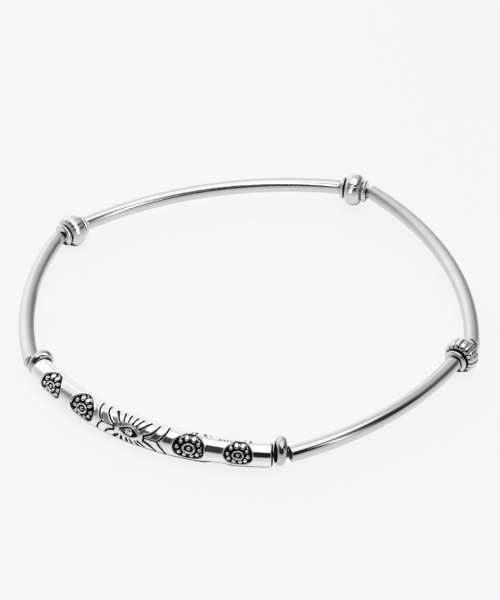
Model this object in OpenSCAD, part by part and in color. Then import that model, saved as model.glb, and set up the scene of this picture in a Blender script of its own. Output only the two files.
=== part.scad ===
// Bar bracelet: a curved silver bar bead with cast relief, two ring spacers, four plain
// curved tube beads and three fluted beads, strung on one closed elastic thread.
// It lies on its side. The wrist goes through along Z and the bar is at the front, on -Y.
// All sizes are in millimetres and all angles in degrees.

/* [Loop] */
// Straight distance between the two ends of the bar
bar_chord = 31.8; // [31:0.2:33]
// Bend of the bar from end to end
bar_bend = 55.6; // [50:0.2:60]
// Straight distance between the ends of each tube beside the bar
short_chord = 25.8; // [25:0.1:27]
// Bend of each tube beside the bar
short_bend = 35.6; // [30:0.2:40]
// Straight distance between the ends of each tube at the back
long_chord = 35; // [34:0.1:36.5]
// Bend of each tube at the back
long_bend = 47.8; // [43:0.2:53]
// Corner of the loop between the left tube's chord and the bar's
left_corner = 116.8; // [115:0.2:119]
// Corner of the loop between the bar's chord and the front tube's
right_corner = 110.5; // [109:0.1:112]

/* [Tubes and thread] */
// Outer diameter of the plain tubes
tube_dia = 1.9; // [1.7:0.05:2.1]
// Diameter of the hole through every bead
bore_dia = 1.2; // [1.1:0.05:1.3]
// Diameter of the elastic thread
thread_dia = 0.7; // [0.5:0.05:0.8]

/* [Fluted beads] */
// Diameter over the flutes
bead_dia = 4.2; // [3.9:0.1:4.5]
// Length from collar to collar
bead_length = 3.5; // [3.3:0.1:3.5]
// Length of the fluted body between the collars
body_length = 2.1; // [1.8:0.1:2.2]
// Diameter of the collars
collar_dia = 2.9; // [2.6:0.1:3.1]
// Thickness of the collars
collar_wire = 0.56; // [0.5:0.02:0.6]
// Number of flutes round a bead
flute_count = 16; // [12:2:16]
// Diameter of the cut that makes a flute
flute_dia = 0.38; // [0.3:0.02:0.4]
// Space between the ends of the tubes at a fluted bead
bead_space = 4.3; // [4.3:0.1:4.8]

/* [Ring spacers] */
// Outer diameter of a ring spacer
spacer_dia = 3.4; // [3.2:0.1:3.4]
// Thickness of a ring spacer
spacer_wire = 1.24; // [1.1:0.02:1.24]
// Diameter of a ring spacer's hole, wide enough for it to hang to one side of the thread
spacer_bore_dia = 2.1; // [2.1:0.05:2.2]
// Space between the bar and a tube at a ring spacer
spacer_space = 2.0; // [2:0.1:2.6]

/* [Bar] */
// Diameter of the bar in the middle
bar_dia = 3.36; // [3.1:0.02:3.6]
// Diameter of the bar at its ends
bar_end_dia = 2.86; // [2.7:0.02:3.1]
// Rounding of the bar's ends
bar_edge = 0.22; // [0.1:0.02:0.3]
// How far the relief is turned up from the bar's outermost line
relief_turn = 25.5; // [0:0.5:30]
// How far the relief lies along the bar from its middle, to the right
relief_shift = -0.54; // [-0.6:0.02:0]
// Depth of the sunk shields
shield_depth = 0.24; // [0.16:0.02:0.3]
// Depth of the sunk eye
eye_depth = 0.2; // [0.12:0.02:0.26]
// Depth of the engraved lines
line_depth = 0.15; // [0.08:0.01:0.2]
// Width of the engraved lines at the surface
line_width = 0.2; // [0.12:0.02:0.26]

/* [Hidden] */
$fn = 64;

tube_r = tube_dia / 2;
bore_r = bore_dia / 2;
bead_r = bead_dia / 2;
silver = [0.84, 0.84, 0.85];
elastic = [0.06, 0.06, 0.07];

// The loop has five corners: left spacer, right spacer, right bead, back bead, left bead.
// Its five sides start at those corners: bar, front tube, right tube, back tube, left tube.
spaces = [spacer_space, spacer_space, bead_space, bead_space, bead_space];
bends = [bar_bend, short_bend, long_bend, long_bend, short_bend];
chords = [bar_chord, short_chord, long_chord, long_chord, short_chord];
// The string doesn't cross a corner evenly: a bead keeps nearly in line with one of its two
// neighbours, and this is how far the string's way turns from the even one there
aside = [12.4, -3, -18.9, 11.9, -5.9];

// Where two circles round p and q meet, on the side away from the bar
function apex(p, q, rp, rq) =
    let (
        d = norm(q - p),
        a = (rp * rp - rq * rq + d * d) / (2 * d),
        h = sqrt(rp * rp - a * a),
        u = (q - p) / d
    )
    p + a * u + h * [u.y, -u.x];

// The corners of the loop. A side stops before[i] short of corner i, and the next one starts
// after[i] beyond it.
function corners(before, after) =
    let (
        side = [for (i = [0:4]) chords[i] + after[i] + before[(i + 1) % 5]],
        c0 = [-side[0] / 2, 0],
        c1 = [side[0] / 2, 0],
        c2 = c1 + side[1] * [-cos(right_corner), sin(right_corner)],
        c4 = c0 + side[4] * [cos(left_corner), sin(left_corner)]
    )
    [c0, c1, c2, apex(c2, c4, side[2], side[3]), c4];

function corner_angle(c, i) =
    let (
        a = c[(i + 4) % 5] - c[i],
        b = c[(i + 1) % 5] - c[i]
    )
    acos(a * b / norm(a) / norm(b));

// The free rooms that leave the wanted space between the two sides' ends at corner i
function better_room(c, i, way) =
    let (turn = 180 - corner_angle(c, i))
    spaces[i] * sin(turn / 2 + way * aside[i]) / sin(turn);
function better(c) = [for (way = [-1, 1]) [for (i = [0:4]) better_room(c, i, way)]];
function settle(room, steps) =
    steps == 0 ? room : settle(better(corners(room[0], room[1])), steps - 1);

even_room = [for (s = spaces) s / 2 / sin(54)];
room = settle([even_room, even_room], 8);
corner = corners(room[0], room[1]);

function side_way(i) = (corner[(i + 1) % 5] - corner[i]) / norm(corner[(i + 1) % 5] - corner[i]);
function side_start(i) = corner[i] + side_way(i) * room[1][i];
function side_end(i) = side_start(i) + side_way(i) * chords[i];
function side_radius(i) = chords[i] / 2 / sin(bends[i] / 2);
function side_centre(i) =
    (side_start(i) + side_end(i)) / 2
    - [side_way(i).y, -side_way(i).x] * side_radius(i) * cos(bends[i] / 2);
// Direction from a side's centre to its start
function side_from(i) = atan2(-side_way(i).x, side_way(i).y) - bends[i] / 2;
function on_side(i, part, out) =
    let (a = side_from(i) + bends[i] * part)
    side_centre(i) + (side_radius(i) + out) * [cos(a), sin(a)];

// A corner's bead lies between the two sides' ends, along the line through them. The fluted
// beads lie nearer to the tube that they are in line with.
bead_part = [0.55, 0.47, 0.44, 0.545, 0.455];
function bead_from(i) = side_end((i + 4) % 5);
function bead_place(i) = bead_from(i) + (side_start(i) - bead_from(i)) * bead_part[i];
function bead_way(i) = side_start(i) - bead_from(i);

// The loop's outline seen from above, for the place of the frame's origin
outline = concat(
    [for (i = [0:4], k = [0:24]) on_side(i, k / 24, i == 0 ? bar_dia / 2 : tube_r)],
    [for (i = [2:4], a = [0:10:350]) bead_place(i) + bead_r * [cos(a), sin(a)]]
);
middle_x = (max([for (p = outline) p.x]) + min([for (p = outline) p.x])) / 2;
middle_y = (max([for (p = outline) p.y]) + min([for (p = outline) p.y])) / 2;

// The loop leans a little forward, so that the bar and the two side beads all touch the floor
side_y = (bead_place(2).y + bead_place(4).y) / 2 - middle_y;
front_y = on_side(0, 0.5, 0).y - middle_y;
lean = asin((bead_r - bar_dia / 2) / (side_y - front_y));
lift = max(
    bar_dia / 2 - front_y * sin(lean),
    bead_r - (bead_place(2).y - middle_y) * sin(lean),
    bead_r - (bead_place(4).y - middle_y) * sin(lean)
);

module lay() {
    translate([0, 0, lift])
        rotate([lean, 0, 0])
            translate([-middle_x, -middle_y, 0])
                children();
}

// Puts a bead's own axis, Z, along the string at corner i, with its X pointing down
module at_corner(i) {
    way = bead_way(i);
    translate([bead_place(i).x, bead_place(i).y, 0])
        rotate([0, 0, atan2(way.y, way.x)])
            rotate([0, 90, 0])
                children();
}

module curved_tube(i) {
    color(silver)
        lay()
            translate([side_centre(i).x, side_centre(i).y, 0])
                rotate([0, 0, side_from(i)])
                    rotate_extrude(angle = bends[i])
                        translate([side_radius(i), 0])
                            difference() {
                                circle(r = tube_r);
                                circle(r = bore_r);
                            }
}

// A ring spacer hangs inwards of the thread, and the right one up and a little tilted too
spacer_in = [0.58, 0.48];
spacer_up = [0, 0.15];
spacer_tilt = [0, 7.5];

module ring_spacer(i) {
    color(silver)
        lay()
            at_corner(i)
                translate([-spacer_up[i], spacer_in[i], 0])
                    rotate([0, spacer_tilt[i], 0])
                        difference() {
                            rotate_extrude()
                                translate([(spacer_dia - spacer_wire) / 2, 0])
                                    circle(r = spacer_wire / 2);
                            cylinder(d = spacer_bore_dia, h = spacer_wire * 2, center = true);
                        }
}

// One flute is cut by a bent round rod that runs along the body from collar to collar
module flute_cut() {
    rotate([90, 0, 0])
        rotate([0, 0, -52])
            rotate_extrude(angle = 104)
                translate([bead_r + flute_dia * 0.06, 0])
                    circle(r = flute_dia / 2);
}

module fluted_bead(i) {
    collar_r = (collar_dia - collar_wire) / 2;
    color(silver)
        lay()
            at_corner(i)
                difference() {
                    union() {
                        difference() {
                            intersection() {
                                sphere(r = bead_r);
                                cylinder(r = bead_dia, h = body_length, center = true);
                            }
                            for (k = [0:flute_count - 1])
                                rotate([0, 0, (k + 0.5) * 360 / flute_count])
                                    flute_cut();
                        }
                        cylinder(r = collar_r * 0.9, h = bead_length - 0.1, center = true);
                        for (end = [-1, 1])
                            translate([0, 0, end * (bead_length - collar_wire) / 2])
                                rotate_extrude()
                                    translate([collar_r, 0])
                                        circle(r = collar_wire / 2);
                    }
                    cylinder(r = bore_r, h = bead_length * 2, center = true);
                }
}

// Closes a list of rings of points to one solid. The points of a ring run
// right-handed about the direction in which the rings follow each other.
module skin(rings, closed = false) {
    n = len(rings[0]);
    m = len(rings);
    points = [for (ring = rings) for (p = ring) p];
    walls = [
        for (i = [0:m - (closed ? 1 : 2)])
            for (j = [0:n - 1])
                let (
                    a = i * n,
                    b = (i + 1) % m * n,
                    k = (j + 1) % n
                )
                each [[a + j, b + j, b + k], [a + j, b + k, a + k]]
    ];
    caps = closed ? [] : [
        for (j = [1:n - 2])
            each [[0, j, j + 1], [(m - 1) * n, (m - 1) * n + j + 1, (m - 1) * n + j]]
    ];
    polyhedron(points = points, faces = concat(walls, caps), convexity = 8);
}

// The thread follows each side's bend and runs straight through the corner beads
thread_steps = [12, 7, 11, 11, 7];
thread_path = [for (i = [0:4]) for (k = [0:thread_steps[i]]) on_side(i, k / thread_steps[i], 0)];

module thread() {
    count = len(thread_path);
    rings = [
        for (i = [0:count - 1])
            let (
                p = thread_path[i],
                along = thread_path[(i + 1) % count] - thread_path[(i + count - 1) % count],
                t = along / norm(along)
            )
            [
                for (j = [0:7])
                    let (a = -22.5 - j * 45)
                    [
                        p.x + t.y * cos(a) * thread_dia / 2,
                        p.y - t.x * cos(a) * thread_dia / 2,
                        sin(a) * thread_dia / 2
                    ]
            ]
    ];
    color(elastic)
        lay()
            skin(rings, closed = true);
}

// The bar's surface: s runs along the bar to the right and v up round it, both from the
// middle of the relief, and h is the height over the surface.
bar_radius = side_radius(0);
bar_length = bar_radius * bar_bend * PI / 180;
bar_centre = side_centre(0);

function bar_r(s) = bar_dia / 2 - (bar_dia - bar_end_dia) / 2 * pow(2 * (s + relief_shift) / bar_length, 2);

function bar_point(s, turn, r) =
    let (
        a = (s + relief_shift) / bar_radius * 180 / PI,
        out = bar_radius + r * cos(turn)
    )
    [bar_centre.x + out * sin(a), bar_centre.y - out * cos(a), r * sin(turn)];

function on_bar(s, v, h) =
    bar_point(s, relief_turn + v / bar_r(s) * 180 / PI, bar_r(s) + h);

// Rows of points that run along the bar under the relief, by their place round it
rows = [-2.35, -2, -1.7, -1.4, -1.15, -0.9, -0.55, -0.25, -0.13, -0.01, 0.3, 0.6, 0.86, 1.2,
    1.55, 1.95, 2.35];
last_row = len(rows) - 1;
back_steps = 9;
ring_size = len(rows) + back_steps - 1;

// Courses of the lines round the eye, each a table of [place round the bar, place along it]
far_left = [[-2.35, -3.92], [-1.35, -3.8], [-0.5, -3.45], [0, -3.05], [0.5, -3.5], [1.1, -3.75],
    [2.1, -3.93], [2.35, -3.95]];
near_left = [[-2.35, -2.9], [-1.35, -2.55], [-0.9, -2.2], [-0.55, -1.8], [-0.25, -1.48],
    [0, -1.42], [0.3, -1.55], [0.6, -1.95], [0.86, -2.2], [1.2, -2.5], [2.35, -2.78]];
ray_1 = [[-2.35, -1.9], [-1.6, -1.4], [-0.95, -0.8], [0.75, -0.8], [1.95, -1.62], [2.35, -1.85]];
ray_2 = [[-2.35, -0.56], [-1.12, -0.42], [0.88, -0.23], [2.1, -0.55], [2.35, -0.62]];
ray_3 = [[-2.35, 0.18], [-1.18, 0.18], [0.98, 0.34], [2.35, 0.24]];
ray_4 = [[-2.35, 1], [-1.2, 0.78], [0.88, 0.91], [2.35, 1.16]];
ray_5 = [[-2.35, 1.8], [-1.12, 1.34], [0.76, 1.44], [2.35, 2.1]];
ray_6 = [[-2.35, 2.65], [-1.9, 2.4], [-0.95, 1.95], [0.56, 2], [1.95, 2.95], [2.35, 3.2]];
near_right = [[-2.35, 4.1], [-2, 3.95], [-0.95, 3.35], [-0.55, 2.75], [-0.13, 2.6], [0.13, 2.66],
    [0.5, 3.15], [1.01, 3.68], [1.9, 4.05], [2.35, 4.12]];
far_right = [[-2.35, 5.2], [-2, 5.05], [-0.9, 4.62], [-0.13, 4.3], [0.4, 4.72], [0.9, 5],
    [1.95, 5.2], [2.35, 5.25]];

// Engraved lines: [course, lower part from, to, upper part from, to, width factor]
engraved = [
    [far_left, -1.5, -0.1, -0.1, 2.1, 1],
    [near_left, -1.5, -0.1, -0.1, 2.1, 1],
    [ray_1, -1.8, -1, 0.8, 2, 1.3],
    [ray_2, -2.1, -1.1, 0.8, 2, 1],
    [ray_3, -2.1, -1.1, 0.8, 2, 1],
    [ray_4, -2.1, -1.1, 0.8, 2, 1],
    [ray_5, -2.1, -1.1, 0.8, 2, 1],
    [ray_6, -2.1, -1.1, 0.7, 2, 1.3],
    [near_right, -2.1, -0.1, -0.1, 2, 1],
    [far_right, -2.1, -0.1, -0.1, 2, 1]
];

// The sunk eye between its corners, round the pupil's place [along, round]
pupil = [0.6, -0.18];
eye_half_length = 1.24;
eye_half_height = 0.6;
iris_r = 0.42;
function eye_part(s) = max(-1, min(1, (s - pupil.x) / eye_half_length));
function eye_rise(s) = max(0.06, eye_half_height * pow(1 - pow(eye_part(s), 2), 0.75));
function eye_offset(j, s) =
    let (rise = eye_rise(s))
    [-rise - 0.1, -rise, -rise / 2, 0, rise / 2, rise, rise + 0.1][j - 5];
function eye_share(s) = max(0, min(1, 1 - (abs(s - pupil.x) - eye_half_length) / 0.5));
function row_at(j, s) =
    j < 5 || j > 11
        ? rows[j]
        : rows[j] * (1 - eye_share(s))
            + (pupil.y - 0.1 * eye_part(s) + eye_offset(j, s)) * eye_share(s);

// Sunk shields. Outline, tip up, as [along the bar, round the bar] from the ring's centre
shield_outline = [
    [1.72, 0.1], [1.62, 0.75], [1.35, 1.3], [0.98, 1.68], [0.58, 1.9], [0.15, 1.98],
    [-0.35, 1.86], [-0.8, 1.55], [-1.25, 1.1], [-1.62, 0.62], [-1.83, 0.15], [-1.76, -0.3],
    [-1.45, -0.75], [-1.05, -1.2], [-0.6, -1.65], [-0.05, -1.95], [0.55, -2.05], [1.1, -1.9],
    [1.5, -1.35], [1.68, -0.6]
];
outline_polar = [
    for (turn = [-1, 0, 1])
        for (p = shield_outline)
            [atan2(p.y, p.x) + (p.y < 0 ? 360 : 0) + turn * 360, norm(p)]
];

// Raised petals and grains of a shield: [along, round, width, length, turn to the left]
shield_grains = [
    [1.24, 0.44, 0.42, 0.46, -70],
    [1.16, 1.0, 0.3, 0.42, -45],
    [0.68, 1.28, 0.4, 0.68, -26],
    [0.28, 1.42, 0.2, 0.6, -8],
    [-0.14, 1.3, 0.4, 0.7, 8],
    [-0.54, 1.14, 0.2, 0.46, 26],
    [-0.92, 0.92, 0.42, 0.5, 44],
    [-1.34, 0.26, 0.44, 0.46, 80],
    [-1.18, -0.42, 0.42, 0.46, 110],
    [-0.68, -1.02, 0.44, 0.46, 145],
    [0.06, -1.4, 0.44, 0.46, 175],
    [0.8, -1.26, 0.46, 0.48, -148],
    [1.26, -0.44, 0.44, 0.48, -110]
];

// Centres of the shields' rings along the bar
shields = [-11.9, -6.3, 7.8, 13.2];
shield_half = 2.1;
shield_steps = 12;

function grain_rise(g, p) =
    let (
        d = [p.x - g[0], p.y - g[1]],
        across = d.x * cos(g[4]) + d.y * sin(g[4]),
        along = d.y * cos(g[4]) - d.x * sin(g[4]),
        q = pow(across / g[2] * 2, 2) + pow(along / g[3] * 2, 2)
    )
    q < 1.15 ? min(shield_depth - 0.02, g[2] * 0.6) * pow(1.16 - q, 0.3) / 1.05 : 0;
function grains_rise(p) = max([for (g = shield_grains) grain_rise(g, p)]);

// Columns of points, each with its place along the bar on every row and what the rounded
// end takes off the radius there
bar_half = bar_length / 2;
bar_ends = [-bar_half - relief_shift, bar_half - relief_shift];
function plain(s, drop = 0) = [[for (v = rows) s], drop, "plain"];
function end_column(side, a) =
    plain(bar_ends[side > 0 ? 1 : 0] - side * bar_edge * (1 - sin(a)), bar_edge * (1 - cos(a)));
function shield_columns(s0) =
    [for (k = [0:shield_steps]) plain(s0 + shield_half * (2 * k / shield_steps - 1))];
function course_columns(e) = [
    for (side = [-1, 0, 1])
        [
            [for (v = rows) lookup(v, e[0]) + side * line_width / 2 * e[5]],
            0,
            side == 0 ? "line" : "edge",
            e
        ]
];
function between(e, f) = [[for (v = rows) (lookup(v, e[0]) + lookup(v, f[0])) / 2], 0, "plain"];

left_end = [for (a = [90:-30:0]) end_column(-1, a)];
right_end = [for (a = [0:30:90]) end_column(1, a)];
first_shield = len(left_end) + 1;
columns = concat(
    left_end,
    [plain((shields[0] - shield_half + bar_ends[0]) / 2)],
    shield_columns(shields[0]),
    [plain((shields[0] + shields[1]) / 2)],
    shield_columns(shields[1]),
    [for (k = [0:3]) each course_columns(engraved[k])],
    course_columns(engraved[4]),
    [between(engraved[4], engraved[5])],
    course_columns(engraved[5]),
    [between(engraved[5], engraved[6])],
    [for (k = [6:9]) each course_columns(engraved[k])],
    shield_columns(shields[2]),
    [plain((shields[2] + shields[3]) / 2)],
    shield_columns(shields[3]),
    [plain((shields[3] + shield_half + bar_ends[1]) / 2)],
    right_end
);
outer_count = len(columns);
second_shield = first_shield + shield_steps + 2;
third_shield = second_shield + shield_steps + 1 + 32;
fourth_shield = third_shield + shield_steps + 2;
shield_from = [first_shield, second_shield, third_shield, fourth_shield];

function is_cut(e, v) = (v > e[1] && v < e[2]) || (v > e[3] && v < e[4]);
// The lines that tie two veins together run along the row in the middle
function is_tie(j, s) = j == 8 && ((s > -3.1 && s < -1.3) || (s > 2.5 && s < 4.4));
function eye_height(j, s, v) =
    let (
        d = norm([s - pupil.x, v - pupil.y]),
        inside = abs(s - pupil.x) < eye_half_length - 0.02
    )
    !inside || j < 5 || j > 11
        ? 0
        : j == 5 || j == 11
            ? 0.04
            : -eye_depth + (d < iris_r ? eye_depth * 1.05 * sqrt(1 - pow(d / iris_r, 2)) : 0);
function height_at(i, j, s, v) =
    columns[i][2] == "line" && is_cut(columns[i][3], rows[j])
        ? -line_depth
        : is_tie(j, s)
            ? -line_depth
            : eye_height(j, s, v);

function front_point(i, j) =
    let (
        s = columns[i][0][j],
        v = row_at(j, s)
    )
    on_bar(s, v, height_at(i, j, s, v) - columns[i][1]);

function edge_turn(s, v) = relief_turn + v / bar_r(s) * 180 / PI;
function back_turn(s, part) =
    let (
        low = edge_turn(s, rows[0]),
        high = edge_turn(s, rows[last_row])
    )
    low - (360 - high + low) * part;
function back_point(i, part) =
    let (s = columns[i][0][0] * (1 - part) + columns[i][0][last_row] * part)
    bar_point(s, back_turn(s, part), bar_r(s) - columns[i][1]);

// Points round the bar in one ring: down over the relief, then up the plain back
function ring(i) = concat(
    [for (j = [last_row:-1:0]) front_point(i, j)],
    [for (k = [1:back_steps - 1]) back_point(i, k / back_steps)]
);
bore_steps = 12;
function bore_ring(s) = concat(
    [for (j = [last_row:-1:0]) bar_point(s, edge_turn(s, rows[j]), bore_r)],
    [for (k = [1:back_steps - 1]) bar_point(s, back_turn(s, k / back_steps), bore_r)]
);

// A shield takes the place of a field of the grid. Its edge is that field's edge, gone round
// to the left from the lower left corner.
function field_edge(c) = concat(
    [for (k = [0:shield_steps - 1]) [c + k, 0]],
    [for (j = [0:last_row - 1]) [c + shield_steps, j]],
    [for (k = [shield_steps:-1:1]) [c + k, last_row]],
    [for (j = [last_row:-1:1]) [c, j]]
);
around = 2 * (shield_steps + last_row);
petal_levels = 5;
outer_levels = petal_levels + 3;

function shield_points(q) =
    let (
        s0 = shields[q],
        edge = [for (e = field_edge(shield_from[q])) [columns[e[0]][0][e[1]] - s0, rows[e[1]]]],
        way = [for (p = edge) let (a = atan2(p.y, p.x)) a < 0 ? a + 360 : a],
        rim = [for (a = way) lookup(a, outline_polar)]
    )
    concat(
        [for (k = [0:around - 1]) on_bar(s0 + rim[k] * cos(way[k]), rim[k] * sin(way[k]), 0)],
        [
            for (n = [0:petal_levels + 1])
                for (k = [0:around - 1])
                    let (
                        r = 0.84 + (rim[k] - 0.89) * (1 - n / (petal_levels + 1)),
                        p = r * [cos(way[k]), sin(way[k])],
                        open = n > 0 && n <= petal_levels
                    )
                    on_bar(s0 + p.x, p.y, -shield_depth + (open ? grains_rise(p) : 0))
        ],
        [
            for (level = [[0.74, -0.02], [0.58, -0.02], [0.5, -shield_depth],
                    [0.28, -shield_depth], [0.14, -0.04]])
                for (k = [0:2:around - 1])
                    on_bar(s0 + level[0] * cos(way[k]), level[0] * sin(way[k]), level[1])
        ],
        [on_bar(s0, 0, 0)]
    );

inner_around = around / 2;
shield_size = outer_levels * around + 5 * inner_around + 1;

function band(outer, inner, n) = [
    for (k = [0:n - 1])
        let (m = (k + 1) % n)
        each [[outer + k, inner + k, inner + m], [outer + k, inner + m, outer + m]]
];

function shield_faces(q, first) =
    let (
        edge = [for (e = field_edge(shield_from[q])) e[0] * ring_size + last_row - e[1]],
        inner = first + outer_levels * around,
        foot = inner - around,
        middle = inner + 5 * inner_around
    )
    concat(
        [
            for (k = [0:around - 1])
                let (m = (k + 1) % around)
                each [[edge[k], first + k, first + m], [edge[k], first + m, edge[m]]]
        ],
        [
            for (n = [0:outer_levels - 2])
                each band(first + n * around, first + (n + 1) * around, around)
        ],
        [
            for (k = [0:inner_around - 1])
                let (
                    a = foot + 2 * k,
                    b = foot + 2 * k + 1,
                    c = foot + (2 * k + 2) % around,
                    m = inner + (k + 1) % inner_around
                )
                each [[a, inner + k, b], [b, inner + k, m], [b, m, c]]
        ],
        [
            for (n = [0:3])
                each band(inner + n * inner_around, inner + (n + 1) * inner_around, inner_around)
        ],
        [
            for (k = [0:inner_around - 1])
                [middle - inner_around + (k + 1) % inner_around, middle - inner_around + k, middle]
        ]
    );

function in_shield(i, k) =
    k < last_row
    && max([for (from = shield_from) i >= from && i < from + shield_steps ? 1 : 0]) == 1;

module engraved_bar() {
    grid = concat(
        [for (i = [0:outer_count - 1]) ring(i)],
        [for (k = [0:bore_steps]) bore_ring(bar_ends[1] - 2 * bar_half * k / bore_steps)]
    );
    count = len(grid);
    grid_points = [for (r = grid) each r];
    grid_faces = [
        for (i = [0:count - 1])
            for (k = [0:ring_size - 1])
                if (!in_shield(i, k))
                    let (
                        a = i * ring_size,
                        b = (i + 1) % count * ring_size,
                        m = (k + 1) % ring_size
                    )
                    each [[a + k, b + k, b + m], [a + k, b + m, a + m]]
    ];
    points = concat(grid_points, [for (q = [0:3]) each shield_points(q)]);
    faces = concat(
        grid_faces,
        [for (q = [0:3]) each shield_faces(q, count * ring_size + q * shield_size)]
    );
    color(silver)
        lay()
            polyhedron(points = points, faces = faces, convexity = 8);
}

engraved_bar();
ring_spacer(0);  // spacer_left
ring_spacer(1);  // spacer_right
curved_tube(4);  // tube_left
curved_tube(3);  // tube_back
curved_tube(2);  // tube_right
curved_tube(1);  // tube_front
fluted_bead(4);  // fluted_bead_left
fluted_bead(3);  // fluted_bead_back
fluted_bead(2);  // fluted_bead_right
thread();
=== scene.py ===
import bmesh
import bpy
import math
import numpy as np
from mathutils import Matrix, Vector


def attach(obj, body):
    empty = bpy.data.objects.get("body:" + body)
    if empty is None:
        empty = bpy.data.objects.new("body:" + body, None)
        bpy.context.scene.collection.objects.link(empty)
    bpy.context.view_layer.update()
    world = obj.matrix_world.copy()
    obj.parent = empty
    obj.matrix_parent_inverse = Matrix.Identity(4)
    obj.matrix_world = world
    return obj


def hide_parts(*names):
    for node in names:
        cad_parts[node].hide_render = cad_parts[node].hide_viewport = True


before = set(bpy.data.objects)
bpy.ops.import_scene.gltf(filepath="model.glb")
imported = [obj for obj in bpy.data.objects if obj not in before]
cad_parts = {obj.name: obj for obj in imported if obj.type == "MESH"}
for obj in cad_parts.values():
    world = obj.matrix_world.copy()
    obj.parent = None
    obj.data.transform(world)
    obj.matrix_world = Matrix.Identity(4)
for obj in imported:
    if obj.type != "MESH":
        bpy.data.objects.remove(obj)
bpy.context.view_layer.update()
print("frame loaded with", len(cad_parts), "solids")

mm = 0.001


# The loop seen from above, in mm, worked out as in the source

loop = {
    "chords": [31.8, 25.8, 35.0, 35.0, 25.8],  # bar, front, right, back and left tube
    "bends": [55.6, 35.6, 47.8, 47.8, 35.6],
    "spaces": [2.0, 2.0, 4.3, 4.3, 4.3],  # at the corner where each of them starts
    "aside": [12.4, -3.0, -18.9, 11.9, -5.9],  # how far the string turns from the even way there
    "beadPart": [0.55, 0.47, 0.44, 0.545, 0.455],
    "leftCorner": 116.8,
    "rightCorner": 110.5,
    "barRadius": 1.68,
    "tubeRadius": 0.95,
    "beadRadius": 2.1,
}


def radians(angle):
    return angle * math.pi / 180


def unit(vector):
    return vector / np.linalg.norm(vector)


def toward(angle):
    return np.array([math.cos(angle), math.sin(angle)])


def rightOf(way):
    return np.array([way[1], -way[0]])


def planCorners(before, after):
    side = [loop["chords"][i] + after[i] + before[(i + 1) % 5] for i in range(5)]
    c0 = np.array([-side[0] / 2, 0.0])
    c1 = np.array([side[0] / 2, 0.0])
    right = radians(loop["rightCorner"])
    left = radians(loop["leftCorner"])
    c2 = c1 + side[1] * np.array([-math.cos(right), math.sin(right)])
    c4 = c0 + side[4] * toward(left)
    apart = np.linalg.norm(c4 - c2)
    along = (side[2] ** 2 - side[3] ** 2 + apart ** 2) / (2 * apart)
    away = math.sqrt(side[2] ** 2 - along ** 2)
    way = (c4 - c2) / apart
    c3 = c2 + along * way + away * rightOf(way)
    return [c0, c1, c2, c3, c4]


def cornerAngle(corners, i):
    before = unit(corners[i - 1] - corners[i])
    after = unit(corners[(i + 1) % 5] - corners[i])
    return math.acos(float(before @ after))


rooms = [[space / 2 / math.sin(radians(54)) for space in loop["spaces"]]] * 2
skews = [radians(angle) for angle in loop["aside"]]
for step in range(8):
    turned = planCorners(*rooms)
    turns = [math.pi - cornerAngle(turned, i) for i in range(5)]
    rooms = [[loop["spaces"][i] * math.sin(turns[i] / 2 + way * skews[i]) / math.sin(turns[i])
              for i in range(5)] for way in (-1, 1)]
corners = planCorners(*rooms)

sides = []
for i in range(5):
    way = unit(corners[(i + 1) % 5] - corners[i])
    start = corners[i] + way * rooms[1][i]
    end = start + way * loop["chords"][i]
    bend = radians(loop["bends"][i])
    radius = loop["chords"][i] / 2 / math.sin(bend / 2)
    centre = (start + end) / 2 - rightOf(way) * radius * math.cos(bend / 2)
    sides.append({
        "start": start, "end": end, "bend": bend, "radius": radius, "centre": centre,
        "middle": math.atan2(-way[0], way[1]),  # direction from the centre to the middle
    })

beadPlaces = []
for i in range(5):
    before = sides[i - 1]["end"]
    after = sides[i]["start"]
    beadPlaces.append({
        "place": before + (after - before) * loop["beadPart"][i],
        "turn": math.atan2(*(after - before)[::-1]),
    })


def onSide(i, part, out=0.0):
    side = sides[i]
    angle = side["middle"] + side["bend"] * (part - 0.5)
    return side["centre"] + (side["radius"] + out) * toward(angle)


outline = [onSide(i, k / 24, loop["barRadius"] if i == 0 else loop["tubeRadius"])
           for i in range(5) for k in range(25)]
outline += [beadPlaces[i]["place"] + loop["beadRadius"] * toward(radians(a))
            for i in (2, 3, 4) for a in range(0, 360, 10)]
middle = (np.max(outline, axis=0) + np.min(outline, axis=0)) / 2

# The loop leans forward on the bar and the two side beads
sideY = (beadPlaces[2]["place"][1] + beadPlaces[4]["place"][1]) / 2 - middle[1]
frontY = onSide(0, 0.5)[1] - middle[1]
lean = math.asin((loop["beadRadius"] - loop["barRadius"]) / (sideY - frontY))
lift = max(
    loop["barRadius"] - frontY * math.sin(lean),
    *[loop["beadRadius"] - (beadPlaces[i]["place"][1] - middle[1]) * math.sin(lean) for i in (2, 4)],
)
lay = (Matrix.Translation((0, 0, lift * mm)) @ Matrix.Rotation(lean, 4, "X")
       @ Matrix.Translation((-middle[0] * mm, -middle[1] * mm, 0)))
print("loop laid out, lean", round(math.degrees(lean), 2), "lift", round(lift, 3))


# Camera

view = {
    "azimuth": 29.91,
    "elevation": 36.15,
    "distance": 0.263,
    "targetUp": 2.06,
    "lens": 126.13,
    "shiftX": -1.12 / 600,
    "shiftY": -1.19 / 600,
}


def addObject(name, data):
    thing = bpy.data.objects.new(name, data)
    bpy.context.scene.collection.objects.link(thing)
    return thing


def makeCamera():
    azimuth = radians(view["azimuth"])
    elevation = radians(view["elevation"])
    target = Vector((0, 0, view["targetUp"] * mm))
    flat = math.cos(elevation)
    away = Vector((math.sin(azimuth) * flat, -math.cos(azimuth) * flat, math.sin(elevation)))
    data = bpy.data.cameras.new("photoCamera")
    data.sensor_width = 36
    data.lens = view["lens"]
    data.shift_x = view["shiftX"]
    data.shift_y = view["shiftY"]
    data.clip_start = 0.01
    data.clip_end = 20
    camera = addObject("photoCamera", data)
    camera.location = target + away * view["distance"]
    camera.rotation_euler = (-away).to_track_quat("-Z", "Y").to_euler()
    bpy.context.scene.camera = camera


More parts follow.
